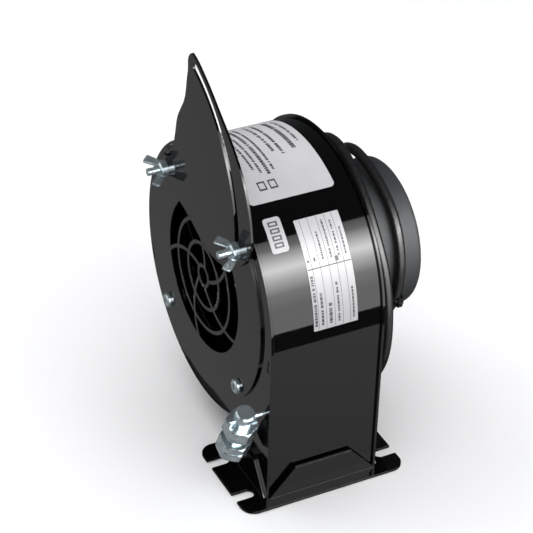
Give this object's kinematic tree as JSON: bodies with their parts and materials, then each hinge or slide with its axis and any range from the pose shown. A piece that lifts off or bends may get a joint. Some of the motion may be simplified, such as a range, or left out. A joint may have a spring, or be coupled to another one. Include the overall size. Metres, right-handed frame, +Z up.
{
  "type": "centrifugal blower",
  "caption": "Round-cased centrifugal blower standing on a slotted outlet flange, with a swinging intake damper, weighted outlet flap and a covered motor with its cord wound round it.",
  "frame": {"origin": "centre of the outlet flange's bottom face", "axes": "+Z up from the outlet flange, +Y along the fan axis from the intake to the motor, +X to the right seen from the intake"},
  "size_m": [0.1812, 0.1485, 0.257],
  "materials": {
    "black_paint": "gloss powder coat",
    "zinc_plated": "bright zinc plate",
    "galvanised_sheet": "galvanised sheet",
    "dark_steel": "oiled steel",
    "cast_aluminium": "die cast",
    "copper_wire": "lacquered copper wire",
    "black_plastic": "fine grained plastic",
    "black_rubber": "satin PVC sheath",
    "label_film": "printed sticker"
  },
  "bodies": {
    "casing": {"scroll_band": "black_paint", "front_side_plate": "black_paint", "rear_side_plate": "black_paint", "outlet_flange": "black_paint", "rivet_nuts": "zinc_plated", "intake_cover": "black_paint", "cover_screws": "zinc_plated", "damper_studs": "zinc_plated", "damper_spacer_washers": "zinc_plated", "stator_core": "dark_steel", "stator_windings": "copper_wire", "front_bracket": "cast_aluminium", "rear_bracket": "cast_aluminium", "front_bearing": "dark_steel", "rear_bearing": "dark_steel", "bracket_spacer_tubes": "zinc_plated", "tie_bolts": "zinc_plated", "motor_mount_screws": "zinc_plated", "motor_cover": "black_plastic", "motor_cover_screws": "zinc_plated", "cord_strain_relief": "black_rubber", "power_cord_winding": "black_rubber", "power_cord_end": "black_rubber", "cord_plug": "black_plastic", "cable_ties": "black_plastic", "rating_label": "label_film", "number_label": "label_film", "table_label": "label_film"},
    "rotor": {"impeller_back_plate": "black_paint", "impeller_blades": "black_paint", "impeller_front_ring": "black_paint", "impeller_hub": "cast_aluminium", "impeller_set_screw": "dark_steel", "motor_shaft": "dark_steel", "rotor_core": "cast_aluminium", "cooling_fan": "black_plastic"},
    "damper": {"damper_plate": "black_paint"},
    "pivot_nut": {"pivot_wing_nut": "zinc_plated"},
    "lock_nut": {"lock_wing_nut": "zinc_plated"},
    "flap_and_bolt": {"flap": "galvanised_sheet", "flap_axle": "zinc_plated", "counterweight_bolt": "zinc_plated"},
    "upper_weight": {"counterweight_lock_nut": "zinc_plated"},
    "lower_weight": {"counterweight_adjusting_nut": "zinc_plated"}
  },
  "joints": [
    {"name": "rotor_spin", "type": "hinge", "parent": "casing", "child": "rotor", "pos_m": [-0.0625, 0, 0.11], "axis": [0, 1, 0], "continuous": true},
    {"name": "damper_swing", "type": "hinge", "parent": "casing", "child": "damper", "pos_m": [-0.112, -0.041, 0.1595], "axis": [0, 1, 0], "range_deg": [0, 64]},
    {"name": "pivot_nut_turn", "type": "hinge", "parent": "casing", "child": "pivot_nut", "pos_m": [-0.112, -0.041, 0.1595], "axis": [0, 1, 0], "continuous": true},
    {"name": "lock_nut_turn", "type": "hinge", "parent": "casing", "child": "lock_nut", "pos_m": [-0.013, -0.041, 0.1595], "axis": [0, 1, 0], "continuous": true},
    {"name": "flap_swing", "type": "hinge", "parent": "casing", "child": "flap_and_bolt", "pos_m": [0.02, 0, 0.063], "axis": [0, 1, 0], "range_deg": [0, 77]},
    {"name": "upper_weight_slide", "type": "slide", "parent": "flap_and_bolt", "child": "upper_weight", "axis": [-0.3987, 0, -0.9171], "range_m": [0, 0.003]},
    {"name": "lower_weight_slide", "type": "slide", "parent": "flap_and_bolt", "child": "lower_weight", "axis": [0.3987, 0, 0.9171], "range_m": [0, 0.004]}
  ]
}
